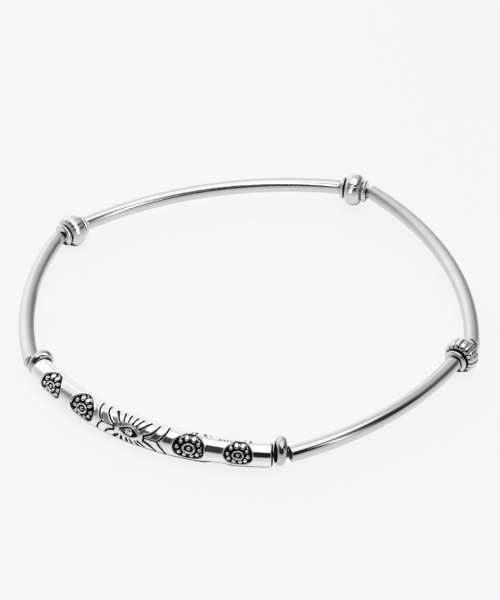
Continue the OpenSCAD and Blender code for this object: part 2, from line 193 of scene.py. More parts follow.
makeCamera()
print("camera set")


# Node trees

def feed(tree, node, values):
    pairs = values.items() if isinstance(values, dict) else enumerate(values)
    for name, value in pairs:
        if isinstance(value, bpy.types.NodeSocket):
            tree.links.new(value, node.inputs[name])
        else:
            node.inputs[name].default_value = value


def addNode(tree, kind, values=(), **settings):
    node = tree.nodes.new(kind)
    for name, value in settings.items():
        setattr(node, name, value)
    feed(tree, node, values)
    return node


def treeOf(values):
    return next(value.id_data for value in values if isinstance(value, bpy.types.NodeSocket))


def mathNode(operation, *values):
    return addNode(treeOf(values), "ShaderNodeMath", values, operation=operation).outputs[0]


def times(a, b):
    return mathNode("MULTIPLY", a, b)


def plus(a, b):
    return mathNode("ADD", a, b)


def minus(a, b):
    return mathNode("SUBTRACT", a, b)


def over(a, b):
    return mathNode("DIVIDE", a, b)


def larger(a, b):
    return mathNode("MAXIMUM", a, b)


def distanceOut(x, y):
    return mathNode("SQRT", plus(times(x, x), times(y, y)))


def rangeNode(value, fromLow, fromHigh, toLow=0.0, toHigh=1.0, kind="SMOOTHSTEP"):
    numbers = (value, fromLow, fromHigh, toLow, toHigh)
    return addNode(value.id_data, "ShaderNodeMapRange", numbers, interpolation_type=kind).outputs["Result"]


def joinVector(x, y, z):
    return addNode(treeOf((x, y, z)), "ShaderNodeCombineXYZ", (x, y, z)).outputs[0]


def splitVector(vector):
    return addNode(vector.id_data, "ShaderNodeSeparateXYZ", [vector]).outputs


# Materials

silverLook = {
    "clean": 0.91,
    "dull": 0.88,
    "tint": 0.005,  # clean metal is bluer by it, dull metal warmer
    "oxideAndShade": (0.010, 0.010, 0.011, 1),
    "polished": 0.07,
    "rubbed": 0.13,
    "oxideRough": 0.42,
    "clouds": 700,  # of dull metal, about 1.5 mm across
    "grain": 9000,
    "lines": 14000,
    "drawLines": 0.045,  # bump of the fine lines that run along a piece
    "pits": 0.10,
    "broken": 0.5,  # how ragged the oxide's edge is
    "streaks": 0.12,  # change of the gloss from line to line
    "speckGrain": 3600,
    "specks": 1.0,
    "bump": 0.35,
    "bumpDepth": 0.06,
}
# Darker copies of the bar's silver: the lower clean and dull values of the tubes, spacers and beads are
# painted shade, while their roughness is their own finish
shadedTubeLook = dict(silverLook, clean=0.7, dull=0.68, polished=0.115, rubbed=0.125, drawLines=0.004,
                streaks=0.02, specks=0.3, broken=0.15)
shadedFrontLook = dict(shadedTubeLook, polished=0.07, rubbed=0.11)
shadedSatinLook = dict(shadedTubeLook, clean=0.68, dull=0.65, polished=0.23, rubbed=0.28)
shadedSpacerLook = dict(silverLook, clean=0.62, dull=0.57)
shadedBeadLook = dict(silverLook, clean=0.74, dull=0.68, polished=0.12, rubbed=0.19, specks=0.4)
shadedSoftBeadLook = dict(shadedBeadLook, polished=0.2, rubbed=0.27)

elasticLook = {
    "black": (0.006, 0.006, 0.007, 1),
    "dusty": (0.03, 0.03, 0.032, 1),
    "paleGrey": (0.4, 0.4, 0.4, 1),  # paler grey near the left spacer
    "paleGreyAt": (-16.8, -23.9, 1.75),
    "paleGreyReach": (1.6, 3.0),
    "fibre": 5200,
    "bump": 0.3,
    "bumpDepth": 0.04,
}


def startMaterial(name):
    material = bpy.data.materials.new(name)
    material.use_nodes = True
    return material, material.node_tree, material.node_tree.nodes["Principled BSDF"]


def addBump(tree, shader, height, look):
    bump = addNode(tree, "ShaderNodeBump", {
        "Strength": look["bump"], "Distance": look["bumpDepth"] * mm, "Height": height})
    feed(tree, shader, {"Normal": bump.outputs[0]})


def mixColours(factor, low, high):
    values = {"Factor": factor, 6: low, 7: high}
    return addNode(factor.id_data, "ShaderNodeMix", values, data_type="RGBA").outputs[2]


def noiseOn(vector, stretch, scale, detail, roughness=0.5):
    mapping = addNode(vector.id_data, "ShaderNodeMapping", {"Scale": stretch, "Vector": vector})
    return addNode(vector.id_data, "ShaderNodeTexNoise", {
        "Vector": mapping.outputs[0], "Scale": scale, "Detail": detail, "Roughness": roughness,
    }).outputs["Fac"]


def makeSilver(name, look):
    material, tree, shader = startMaterial(name)
    straight = addNode(tree, "ShaderNodeAttribute", attribute_name="straight").outputs["Vector"]
    # The mask holds real oxide in the engraving and flutes, and painted shade under pieces, on flanks, in
    # grooves and at ends
    patinaAndShade = addNode(tree, "ShaderNodeAttribute", attribute_name="patinaAndShade").outputs["Fac"]
    tarnish = addNode(tree, "ShaderNodeAttribute", attribute_name="tarnish").outputs["Fac"]

    clouds = noiseOn(straight, (1, 1, 1), look["clouds"], 4)
    grain = noiseOn(straight, (1, 1, 1), look["grain"], 2)
    lines = noiseOn(straight, (0.02, 1, 1), look["lines"], 3, 0.6)

    # Oxide, and painted shade where the mask carries it, with a broken edge
    loose = times(minus(grain, 0.5), look["broken"])
    oxideAndShade = rangeNode(plus(patinaAndShade, loose), 0.32, 0.62)
    # Specks of tarnish, thick only where the piece has its tarnish mask
    speckNoise = noiseOn(straight, (0.6, 1, 1), look["speckGrain"], 3, 0.65)
    specks = rangeNode(plus(speckNoise, times(tarnish, 0.26)), 0.735, 0.79)
    dark = larger(oxideAndShade, times(specks, 0.85 * look["specks"]))

    clean = (look["clean"], look["clean"], look["clean"] + look["tint"], 1)
    dull = (look["dull"], look["dull"], look["dull"] - look["tint"], 1)
    metal = mixColours(rangeNode(clouds, 0.35, 0.7), clean, dull)
    rubbed = rangeNode(clouds, 0.3, 0.7, look["polished"], look["rubbed"], "LINEAR")
    streaks = times(minus(lines, 0.5), look["streaks"])
    rough = addNode(tree, "ShaderNodeMix", {
        "Factor": dark, 2: plus(rubbed, streaks), 3: look["oxideRough"]}, data_type="FLOAT")
    feed(tree, shader, {"Metallic": 1.0, "Base Color": mixColours(dark, metal, look["oxideAndShade"]),
                        "Roughness": rough.outputs[0]})
    height = minus(times(lines, look["drawLines"]), times(dark, look["pits"]))
    addBump(tree, shader, height, look)
    return material


def makeElastic(name, look):
    material, tree, shader = startMaterial(name)
    place = addNode(tree, "ShaderNodeTexCoord").outputs["Object"]
    fibre = noiseOn(place, (1, 1, 1), look["fibre"], 3)
    soiled = mixColours(fibre, look["black"], look["dusty"])
    far = addNode(tree, "ShaderNodeVectorMath", [place, [v * mm for v in look["paleGreyAt"]]],
                  operation="DISTANCE").outputs["Value"]
    nearSpacer = rangeNode(far, *[v * mm for v in look["paleGreyReach"]])
    feed(tree, shader, {"Metallic": 0.0, "Base Color": mixColours(nearSpacer, look["paleGrey"], soiled),
                        "Roughness": rangeNode(fibre, 0.2, 0.8, 0.38, 0.62, "LINEAR")})
    addBump(tree, shader, fibre, look)
    return material


silver = makeSilver("polishedSilver", silverLook)
shadedTubeSilver = makeSilver("shadedTubeSilver", shadedTubeLook)
shadedFrontSilver = makeSilver("shadedFrontSilver", shadedFrontLook)
shadedSpacerSilver = makeSilver("shadedSpacerSilver", shadedSpacerLook)
shadedSatinSilver = makeSilver("shadedSatinSilver", shadedSatinLook)
shadedBeadSilver = makeSilver("shadedBeadSilver", shadedBeadLook)
shadedSoftBeadSilver = makeSilver("shadedSoftBeadSilver", shadedSoftBeadLook)
elastic = makeElastic("elasticThread", elasticLook)
print("materials made")


# Helpers for the pieces

def startTree(name, counts, numbers):
    tree = bpy.data.node_groups.new(name, "GeometryNodeTree")
    kinds = {"Geometry": "Geometry", **dict.fromkeys(counts, "Int"), **dict.fromkeys(numbers, "Float"),
             "Finish": "Material"}
    for label, kind in kinds.items():
        tree.interface.new_socket(name=label, in_out="INPUT", socket_type="NodeSocket" + kind)
    tree.interface.new_socket(name="Geometry", in_out="OUTPUT", socket_type="NodeSocketGeometry")
    return tree, addNode(tree, "NodeGroupInput").outputs


def endTree(tree, given, solid):
    smooth = addNode(tree, "GeometryNodeSetShadeSmooth", {"Geometry": solid})
    whole = addNode(tree, "GeometryNodeRealizeInstances", [smooth.outputs[0]])
    finish = addNode(tree, "GeometryNodeSetMaterial", {
        "Geometry": whole.outputs[0], "Material": given["Finish"]})
    addNode(tree, "NodeGroupOutput", [finish.outputs[0]])


def splitPosition(tree):
    return splitVector(addNode(tree, "GeometryNodeInputPosition").outputs[0])


def movePoints(solid, place):
    values = {"Geometry": solid, "Position": place}
    return addNode(solid.id_data, "GeometryNodeSetPosition", values).outputs[0]


def keepAttribute(solid, name, value, kind="FLOAT"):
    return addNode(solid.id_data, "GeometryNodeStoreNamedAttribute", {
        "Name": name, "Geometry": solid, "Value": value}, data_type=kind, domain="POINT").outputs[0]


def readAttribute(tree, name):
    node = addNode(tree, "GeometryNodeInputNamedAttribute", {"Name": name}, data_type="FLOAT")
    return node.outputs["Attribute"]


def fadeIn(value, start, full, strength):
    return times(rangeNode(value, start, full), strength)


def markSilver(solid, place, first, *darks):
    x, y, z = place
    solid = keepAttribute(solid, "straight", joinVector(z, y, x), "FLOAT_VECTOR")
    for dark in darks:
        first = larger(first, dark)
    return keepAttribute(solid, "patinaAndShade", first)


def layAlong(solid, place, scale):
    # The lathe's axis becomes the string's way, X, with Z up
    x, y, z = place
    placed = joinVector(z, times(times(y, scale), -1.0), times(x, scale))
    return movePoints(solid, placed)


def sweep(path, profile):
    values = {"Curve": path, "Profile Curve": profile}
    return addNode(path.id_data, "GeometryNodeCurveToMesh", values).outputs[0]


def drawnCurve(tree, given):
    return addNode(tree, "GeometryNodeMeshToCurve", {"Mesh": given["Geometry"]}).outputs[0]


def circleCurve(tree, steps, radius):
    return addNode(tree, "GeometryNodeCurvePrimitiveCircle", {"Resolution": steps, "Radius": radius},
                   mode="RADIUS").outputs["Curve"]


def signedVolume(mesh):
    work = bmesh.new()
    work.from_mesh(mesh)
    volume = work.calc_volume(signed=True)
    work.free()
    return volume


def pieceName(node):
    return node.replace("_", " ").title().replace(" ", "")


def finishPiece(name, mesh, node, place):
    mesh.transform(place)
    volume = signedVolume(mesh)
    if volume < 0:
        mesh.flip_normals()
    mesh.update()
    mesh.calc_loop_triangles()
    piece = addObject(name, mesh)
    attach(piece, "root")
    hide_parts(node)
    print("  ", name, len(mesh.loop_triangles), "triangles,", round(abs(volume) * 1e9, 1), "mm3")


def drawLoop(name, points):
    mesh = bpy.data.meshes.new(name)
    count = len(points)
    mesh.from_pydata([(x, y, 0) for x, y in points], [(k, (k + 1) % count) for k in range(count)], [])
    return mesh


def drawProfile(name, points, marks):
    mesh = drawLoop(name, points)
    mesh.attributes.new("mark", "FLOAT", "POINT").data.foreach_set("value", marks)
    return mesh


def growPiece(name, tree, drawing, values, node, place):
    maker = addObject(name + "Drawing", drawing)
    modifier = maker.modifiers.new("grow", "NODES")
    modifier.node_group = tree
    for item in tree.interface.items_tree:
        if item.in_out == "INPUT" and item.name in values:
            modifier[item.identifier] = values[item.name]
    graph = bpy.context.evaluated_depsgraph_get()
    grown = bpy.data.meshes.new_from_object(maker.evaluated_get(graph))
    maker.modifiers.remove(modifier)
    bpy.data.objects.remove(maker)
    finishPiece(name, grown, node, place)


def arc(centre, radius, start, end, steps):
    angles = [radians(start + (end - start) * k / steps) for k in range(steps + 1)]
    return [(centre[0] + radius * math.cos(a), centre[1] + radius * math.sin(a)) for a in angles]


def inLoop(place, turn):
    return lay @ Matrix.Translation((place[0] * mm, place[1] * mm, 0)) @ Matrix.Rotation(turn, 4, "Z")


# Plain curved tubes

tube = {
    "outer": 0.95,
    "bore": 0.6,
    "rim": 0.07,  # rounding of the cut ends
    "sides": 96,
    "rings": 120,
    "boreRings": 40,
    "under": (-0.5, -0.85, 0.46),  # painted shade below: where it starts and is full, by the radius, and strength
    "inner": (-0.5, -0.8),  # the same towards the middle of the loop
    "innerAlong": (-10, 2),  # where along the tube it starts and is full
    "turnedIn": (0.15, 0.25),  # how far in a narrow mouth reaches, and where the bore is full again
}

# Side of the loop, finish, painted shade on the inner side, and at the end by the next bead: length added,
# clean steps of the bore, radius of the mouth. The left tube lies up against its spacer, its mouth turned
# in.
tubes = {
    "tube_front": (1, shadedFrontSilver, 0.0, 0.0, 1, 0.6),
    "tube_right": (2, shadedSatinSilver, 0.0, 0.0, 1, 0.6),
    "tube_back": (3, shadedTubeSilver, 0.0, 0.0, 1, 0.6),
    "tube_left": (4, shadedSatinSilver, 0.47, 0.27, 10, 0.49),
}


def makeTubeTree():
    tree, given = startTree("curvedTube", ["Sides"], ["Lathe Radius", "Bend Radius", "Inner Dark"])
    turned = sweep(circleCurve(tree, given["Sides"], given["Lathe Radius"]), drawnCurve(tree, given))
    x, y, z = splitPosition(tree)
    across = distanceOut(x, y)
    # Painted shade: darker underneath, and on the left tube's inner side near its spacer
    under = fadeIn(over(x, across), *tube["under"])
    inner = fadeIn(over(y, across), *tube["inner"], given["Inner Dark"])
    inner = fadeIn(z, *[a * mm for a in tube["innerAlong"]], inner)
    kept = markSilver(turned, (x, y, z), readAttribute(tree, "mark"), under, inner)
    # Bends the straight tube round the loop's side, in the plane of the loop
    angle = over(z, given["Bend Radius"])
    reach = plus(given["Bend Radius"], y)
    bent = joinVector(times(reach, mathNode("COSINE", angle)), times(reach, mathNode("SINE", angle)), x)
    endTree(tree, given, movePoints(kept, bent))
    return tree


def tubeProfile(length, more, clean, mouth):
    low, high = -length / 2 - more, length / 2
    outer, bore, rim = tube["outer"], tube["bore"], tube["rim"]
    run = high - low - 2 * rim
    up = [(outer, low + rim + run * k / tube["rings"]) for k in range(1, tube["rings"])]
    down = [(bore, high - rim - run * k / tube["boreRings"]) for k in range(1, tube["boreRings"])]
    points = arc((outer - rim, low + rim), rim, -90, 0, 4) + up
    points += arc((outer - rim, high - rim), rim, 0, 90, 4) + arc((bore + rim, high - rim), rim, 90, 180, 4)
    full = len(down) - 5 - clean
    marks = [0.0] * (len(points) + 1) + [0.3, 0.7] + [1.0] * full + [0.7, 0.3] + [0.0] * clean
    points += down
    if mouth < bore:
        near, far = tube["turnedIn"]
        points += [(bore, low + far), (mouth, low + near)]
    points += arc((mouth + rim, low + rim), rim, 180, 270, 4)
    marks += [0.0] * (len(points) - len(marks))
    return [((r - bore) * mm, a * mm) for r, a in points], marks


tubeTree = makeTubeTree()
for node, (i, finish, innerDark, more, clean, mouth) in tubes.items():
    side = sides[i]
    drawing = drawProfile("tubeProfile", *tubeProfile(side["radius"] * side["bend"], more, clean, mouth))
    growPiece(pieceName(node), tubeTree, drawing, {
        "Sides": tube["sides"], "Lathe Radius": tube["bore"] * mm, "Bend Radius": side["radius"] * mm,
        "Inner Dark": innerDark, "Finish": finish,
    }, node, inLoop(side["centre"], side["middle"]))
print("tubes made")


# Fluted beads

flutedBead = {
    "radius": 2.1,
    "bodyHalf": 1.05,
    "bodyEnd": 1.12,  # radius of the body where it meets the collar
    "collarWire": 0.28,
    "collarReach": 1.17,  # from the bead's axis to the middle of the collar's wire
    "collarAt": 1.47,
    "bore": 0.6,
    "sides": 288,
    "flutes": 16,
    "fluteEdge": 5.0,
    "wornSoft": 0.22,  # softness of the rubbed side's edge, as an angle
    "wornShare": 0.92,  # of the flutes' depth that is rubbed away
    "under": (-0.42, -0.75, 0.7),  # painted shade below, as for the tubes
}

# Corner, middle and half width of the rubbed side, depth and darkness of the flutes, painted shade by the
# tube before and by the tube after, finish
flutedBeads = {
    "fluted_bead_right": (2, 155, 30, 0.15, 1.1, 1.0, 1.0, shadedBeadSilver),
    "fluted_bead_back": (3, -130, 70, 0.035, 0.22, 0.45, 0.85, shadedSoftBeadSilver),
    "fluted_bead_left": (4, -130, 70, 0.05, 0.3, 0.62, 0.5, shadedSoftBeadSilver),
}


def makeFlutedTree():
    tree, given = startTree("flutedBead", ["Sides"], [
        "Lathe Radius", "Flutes", "Flute Depth", "Flute Edge", "Flute Dark", "Body Half", "Body Radius",
        "Worn Turn", "Worn Half Width"])
    turned = sweep(circleCurve(tree, given["Sides"], given["Lathe Radius"]), drawnCurve(tree, given))
    x, y, z = splitPosition(tree)
    reach = distanceOut(x, y)
    angle = mathNode("ARCTAN2", y, x)
    wave = mathNode("COSINE", times(angle, given["Flutes"]))
    groove = mathNode("POWER", mathNode("MULTIPLY_ADD", wave, 0.5, 0.5), given["Flute Edge"])
    along = over(mathNode("ABSOLUTE", z), given["Body Half"])
    share = over(reach, given["Body Radius"])
    onBody = times(rangeNode(along, 1.04, 0.98), rangeNode(share, 0.5, 0.72))
    # Where the flutes are rubbed away
    off = mathNode("COSINE", minus(angle, given["Worn Turn"]))
    wornEdges = [mathNode("COSINE", plus(given["Worn Half Width"], soft))
                 for soft in (flutedBead["wornSoft"], -flutedBead["wornSoft"])]
    left = minus(1.0, times(rangeNode(off, *wornEdges), flutedBead["wornShare"]))
    cut = times(times(groove, onBody), left)
    scale = minus(1.0, over(times(cut, given["Flute Depth"]), reach))
    # Oxide lies thicker towards the collars
    thick = mathNode("MULTIPLY_ADD", mathNode("POWER", along, 4.0), 0.6, 0.5)
    inFlutes = times(times(cut, given["Flute Dark"]), thick)
    # Painted shade along the underside
    under = fadeIn(over(x, reach), *flutedBead["under"])
    kept = markSilver(turned, (x, y, z), readAttribute(tree, "mark"), inFlutes, under)
    endTree(tree, given, layAlong(kept, (x, y, z), scale))
    return tree


def flutedProfile(beforeDark, afterDark):
    half, body, end = flutedBead["bodyHalf"], flutedBead["radius"], flutedBead["bodyEnd"]
    at, bore = flutedBead["collarAt"], flutedBead["bore"]
    points = []
    marks = []

    def add(more, mark):
        points.extend(more)
        marks.extend([mark] * len(more) if isinstance(mark, float) else mark)

    # From the middle of the body to one end and into the bore, then mirrored
    quarter = [radians(90 * k / 12) for k in range(13)]
    bulge = [(end + (body - end) * math.cos(a) ** 0.72, half * math.sin(a) ** 0.86) for a in quarter]
    add(bulge[:-4], 0.0)
    # Painted shade in the groove between the body and the collar; the bore is dark too
    add(bulge[-4:], [0.3, 0.7, 1.0, 1.0])
    add([(1.07, half + 0.03), (1.055, half + 0.09)], 1.0)
    collar = arc((flutedBead["collarReach"], at), flutedBead["collarWire"], -106, 128, 18)
    add(collar, [1.0, 0.9, 0.5, 0.2] + [0.0] * (len(collar) - 4))
    add([(0.93, at + 0.23), (0.8, at + 0.225), (bore + 0.05, at + 0.21)], [0.0, 0.1, 0.4])
    add([(bore, at + 0.16), (bore, at - 0.4), (bore, at - 1.0)], 1.0)
    points += [(r, -a) for r, a in points[1:]][::-1]
    patinaAndShade = [m * beforeDark for m in marks] + [m * afterDark for m in marks[1:][::-1]]
    return [((r - bore) * mm, a * mm) for r, a in points], patinaAndShade


flutedTree = makeFlutedTree()
for node, (i, wornTurn, wornHalf, depth, dark, beforeDark, afterDark, finish) in flutedBeads.items():
    drawing = drawProfile("flutedProfile", *flutedProfile(beforeDark, afterDark))
    growPiece(pieceName(node), flutedTree, drawing, {
        "Sides": flutedBead["sides"], "Lathe Radius": flutedBead["bore"] * mm,
        "Flutes": float(flutedBead["flutes"]), "Flute Depth": depth * mm,
        "Flute Edge": flutedBead["fluteEdge"], "Flute Dark": dark,
        "Body Half": flutedBead["bodyHalf"] * mm, "Body Radius": flutedBead["radius"] * mm,
        "Worn Turn": radians(wornTurn), "Worn Half Width": radians(wornHalf), "Finish": finish,
    }, node, inLoop(**beadPlaces[i]))
print("fluted beads made")


# Ring spacers

spacer = {
    "reach": 1.08,
    "wire": 0.66,
    "bore": 1.05,
    "sides": 96,
    "wireSides": 48,
    "under": (-0.68, -0.95, 0.8),  # painted shade below, as for the tubes
}

# Corner, how far the ring hangs inwards of the thread and up, its tilt, painted shade on its flanks
spacers = {
    "spacer_left": (0, 0.58, 0.0, 0.0, 0.55),
    "spacer_right": (1, 0.48, 0.15, 7.5, 0.05),
}


def makeSpacerTree():
    tree, given = startTree("ringSpacer", ["Sides", "Wire Sides"], ["Reach", "Wire", "Bore", "Side Dark"])
    turned = sweep(circleCurve(tree, given["Sides"], given["Reach"]),
                   circleCurve(tree, given["Wire Sides"], given["Wire"]))
    x, y, z = splitPosition(tree)
    reach = distanceOut(x, y)
    # The wire is drilled out to the bore
    scale = over(larger(reach, given["Bore"]), reach)
    inBore = rangeNode(over(reach, given["Bore"]), 1.12, 1.0)
    out = over(mathNode("ABSOLUTE", z), given["Wire"])
    # Painted shade on the flanks where the ring meets its neighbours, and underneath
    flank = fadeIn(out, 0.95, 1.0, given["Side Dark"])
    under = fadeIn(over(x, plus(given["Reach"], given["Wire"])), *spacer["under"])
    kept = markSilver(turned, (x, y, z), inBore, flank, under)
    endTree(tree, given, layAlong(kept, (x, y, z), scale))
    return tree


spacerTree = makeSpacerTree()
for node, (i, inward, up, tilt, sideDark) in spacers.items():
    seed = bpy.data.meshes.new("spacerSeed")
    seed.from_pydata([(0, 0, 0)], [], [])
    place = (inLoop(**beadPlaces[i]) @ Matrix.Translation((0, inward * mm, up * mm))
             @ Matrix.Rotation(radians(tilt), 4, "Y"))
    growPiece(pieceName(node), spacerTree, seed, {
        "Sides": spacer["sides"], "Wire Sides": spacer["wireSides"], "Reach": spacer["reach"] * mm,
        "Wire": spacer["wire"] * mm, "Bore": spacer["bore"] * mm, "Side Dark": sideDark,
        "Finish": shadedSpacerSilver,
    }, node, place)
print("ring spacers made")


# Elastic thread

thread = {"radius": 0.35, "sides": 16, "steps": 40}


def makeThreadTree():
    tree, given = startTree("elasticThread", ["Sides"], ["Radius"])
    swept = sweep(drawnCurve(tree, given), circleCurve(tree, given["Sides"], given["Radius"]))
    endTree(tree, given, swept)
    return tree


path = [onSide(i, k / thread["steps"]) * mm for i in range(5) for k in range(thread["steps"] + 1)]
growPiece("ElasticThread", makeThreadTree(), drawLoop("threadRun", path), {
    "Sides": thread["sides"], "Radius": thread["radius"] * mm, "Finish": elastic,
}, "thread", lay)
print("thread made")


# Engraved bar

bar = {
    "middleRadius": 1.68,
    "endRadius": 1.43,
    "bore": 0.6,
    "edge": 0.22,  # rounding of the two ends
    "lip": 0.07,  # of the right end's mouth
    "reliefTurn": 25.5,  # from the bar's outermost line up to the relief's middle line
    "reliefShift": -0.54,  # from the bar's middle to the relief's
    "reliefLow": -57.0,  # the finely divided part, from the relief's middle line
    "reliefHigh": 84.0,
    "turnStep": 1.4,
    "alongStep": 0.047,
    "backSteps": 26,
    "shieldDepth": 0.22,
    "eyeDepth": 0.17,
    "lineDepth": 0.15,
    "carvedFrom": -14.64,  # stretch of close columns
    "carvedTo": 14.86,
    "dent": 0.22,  # depth of the dent under the right half
}

barSide = sides[0]
barLength = barSide["radius"] * barSide["bend"]


def barRadiusAt(s):
    return bar["middleRadius"] - (bar["middleRadius"] - bar["endRadius"]) * (2 * s / barLength) ** 2


def ease(low, high, x):
    t = np.clip((x - low) / (high - low), 0, 1)
    return t * t * (3 - 2 * t)


def ridge(x, width):
    return np.exp(-(x / width) ** 2)


def smoothThrough(points, steps, closed=False):
    padded = np.pad(np.array(points, float), ((1, 2), (0, 0)), mode="wrap" if closed else "edge")
    t = np.linspace(0, 1, steps, endpoint=False)[:, None]
    spans = []
    for k in range(len(points) if closed else len(points) - 1):
        a, b, c, d = padded[k:k + 4]
        spans.append(0.5 * (2 * b + (c - a) * t + (2 * a - 5 * b + 4 * c - d) * t ** 2
                            + (3 * b - a - 3 * c + d) * t ** 3))
    if not closed:
        spans.append(points[-1:])
    return np.vstack(spans)


# Shields: all places as (along the bar, up round it); a grain is place, width, length, turn to the left
shields = [
    {"ring": (-11.84, 0.12), "size": 0.94, "outline": [
        (-13.62, 0.1), (-13.52, 0.7), (-13.32, 1.2), (-13.0, 1.62), (-12.65, 1.95), (-12.3, 2.2),
        (-11.9, 2.2), (-11.45, 1.98), (-11.05, 1.62), (-10.62, 1.15), (-10.25, 0.65), (-10.06, 0.2),
        (-10.05, -0.3), (-10.2, -0.72), (-10.55, -0.9), (-11.2, -0.9), (-12.0, -0.95), (-12.8, -0.93),
        (-13.3, -0.75), (-13.56, -0.35),
    ], "grains": [
        (-12.47, 1.34, 0.66, 1.02, 12), (-11.7, 1.4, 0.58, 1.0, 4), (-12.05, 1.94, 0.2, 0.6, 56),
        (-12.96, 0.66, 0.54, 0.68, 0), (-13.02, -0.12, 0.5, 0.56, 0), (-11.05, 0.88, 0.46, 0.76, -50),
        (-10.58, 0.24, 0.56, 0.5, 0), (-10.65, -0.38, 0.54, 0.46, 0), (-12.55, -0.66, 0.46, 0.3, 0),
        (-11.75, -0.74, 0.5, 0.24, 0), (-11.1, -0.68, 0.4, 0.24, 0),
    ], "nicks": [
        [(-10.84, 0.14), (-10.42, 0.3)], [(-12.3, 1.75), (-12.02, 1.6)], [(-11.94, 0.05), (-11.72, 0.14)],
    ]},
    {"ring": (-6.32, 0.13), "size": 0.96, "outline": [
        (-8.02, 0.25), (-7.95, 0.85), (-7.7, 1.4), (-7.32, 1.85), (-6.9, 2.15), (-6.45, 2.28),
        (-6.05, 2.14), (-5.62, 1.8), (-5.2, 1.38), (-4.85, 1.0), (-4.58, 0.62), (-4.46, 0.15),
        (-4.52, -0.35), (-4.72, -0.82), (-5.02, -1.12), (-5.5, -1.08), (-6.1, -1.0), (-6.8, -0.9),
        (-7.35, -0.75), (-7.75, -0.42), (-7.97, -0.05),
    ], "grains": [
        (-6.08, 1.38, 0.58, 0.98, 4), (-6.84, 1.42, 0.62, 0.92, 14), (-5.76, 1.68, 0.2, 0.9, 44),
        (-6.5, 1.92, 0.18, 0.5, 60), (-7.38, 0.8, 0.48, 0.62, -6), (-7.44, 0.1, 0.52, 0.44, 0),
        (-7.1, -0.5, 0.48, 0.36, 0), (-5.42, 0.85, 0.42, 0.74, -50), (-4.96, 0.16, 0.54, 0.46, 0),
        (-5.15, -0.42, 0.52, 0.42, 0), (-5.78, -0.8, 0.5, 0.3, 0), (-6.5, -0.76, 0.46, 0.26, 0),
    ], "nicks": [
        [(-5.2, 0.08), (-4.8, 0.22)], [(-6.82, 1.44), (-6.78, 1.3)], [(-7.55, 0.12), (-7.36, 0.06)],
        [(-6.44, 0.06), (-6.18, 0.18)],
    ]},
    {"ring": (7.77, 0.06), "size": 0.99, "outline": [
        (5.86, 0.05), (5.95, 0.55), (6.2, 1.05), (6.6, 1.5), (7.05, 1.88), (7.6, 2.06), (8.1, 2.0),
        (8.55, 1.8), (9.0, 1.37), (9.33, 0.97), (9.48, 0.5), (9.52, 0.05), (9.48, -0.45), (9.25, -0.87),
        (8.85, -1.1), (8.3, -1.22), (7.7, -1.3), (7.1, -1.2), (6.5, -1.0), (6.1, -0.68), (5.9, -0.3),
    ], "grains": [
        (7.32, 1.37, 0.56, 1.02, 8), (8.19, 1.38, 0.54, 1.04, 0), (7.67, 1.5, 0.13, 0.84, 10),
        (7.86, 1.5, 0.12, 0.84, 12), (6.72, 0.76, 0.48, 0.56, 10), (6.38, 0.04, 0.52, 0.48, 0),
        (6.66, -0.6, 0.48, 0.46, 0), (7.3, -0.86, 0.48, 0.46, 0), (8.13, -0.86, 0.5, 0.46, 0),
        (8.77, -0.58, 0.54, 0.5, 0), (9.03, 0.06, 0.52, 0.46, 0), (8.8, 0.74, 0.46, 0.56, -10),
        (8.56, 1.42, 0.16, 0.5, 30), (8.82, 1.2, 0.18, 0.46, 40), (6.78, 1.33, 0.2, 0.84, -46),
        (9.17, 0.42, 0.16, 0.2, 0), (9.24, -0.36, 0.1, 0.44, -30),
    ], "nicks": [
        [(6.18, -0.04), (6.58, 0.12)], [(8.92, 0.03), (9.12, 0.08)], [(6.6, 0.58), (6.86, 0.62)],
        [(7.7, 0.0), (7.9, 0.1)], [(8.4, -0.62), (8.55, -0.5)],
    ]},
    {"ring": (13.3, 0.09), "size": 0.87, "outline": [
        (11.7, 0.05), (11.76, 0.5), (12.0, 1.0), (12.3, 1.42), (12.65, 1.8), (12.95, 2.0), (13.3, 1.95),
        (13.6, 1.93), (13.9, 1.93), (14.28, 1.62), (14.58, 1.17), (14.8, 0.7), (14.92, 0.2), (14.9, -0.3),
        (14.7, -0.7), (14.35, -0.97), (13.9, -1.07), (13.3, -1.08), (12.7, -1.02), (12.2, -0.8),
        (11.86, -0.4),
    ], "grains": [
        (13.07, 1.36, 0.6, 1.0, 4), (13.79, 1.33, 0.58, 1.0, -2), (13.43, 1.45, 0.14, 0.7, 6),
        (12.46, 0.92, 0.46, 0.5, 10), (12.15, 0.2, 0.46, 0.5, 0), (12.3, -0.4, 0.46, 0.46, 0),
        (12.87, -0.76, 0.5, 0.42, 0), (13.58, -0.78, 0.5, 0.42, 0), (14.13, -0.57, 0.5, 0.52, -20),
        (14.42, -0.02, 0.48, 0.5, 0), (14.27, 0.62, 0.46, 0.46, 0), (14.32, 1.06, 0.2, 0.38, 20),
        (14.13, 1.46, 0.16, 0.48, 35), (12.47, 1.38, 0.18, 0.6, -42),
    ], "nicks": [
        [(12.08, 0.16), (12.24, 0.22)], [(14.12, 0.5), (14.42, 0.57)], [(13.22, 0.04), (13.4, 0.1)],
        [(12.34, 0.7), (12.52, 0.66)],
    ]},
]
shieldParts = {"ringInner": 0.56, "ringOuter": 0.78, "flat": 0.82, "dome": 0.27, "wall": 0.1, "rim": 0.026}


def distanceTo(s, v, line):
    nearest = np.full(s.shape, 9.0)
    for ls, lv in line:
        nearest = np.minimum(nearest, (s - ls) ** 2 + (v - lv) ** 2)
    return np.sqrt(nearest)


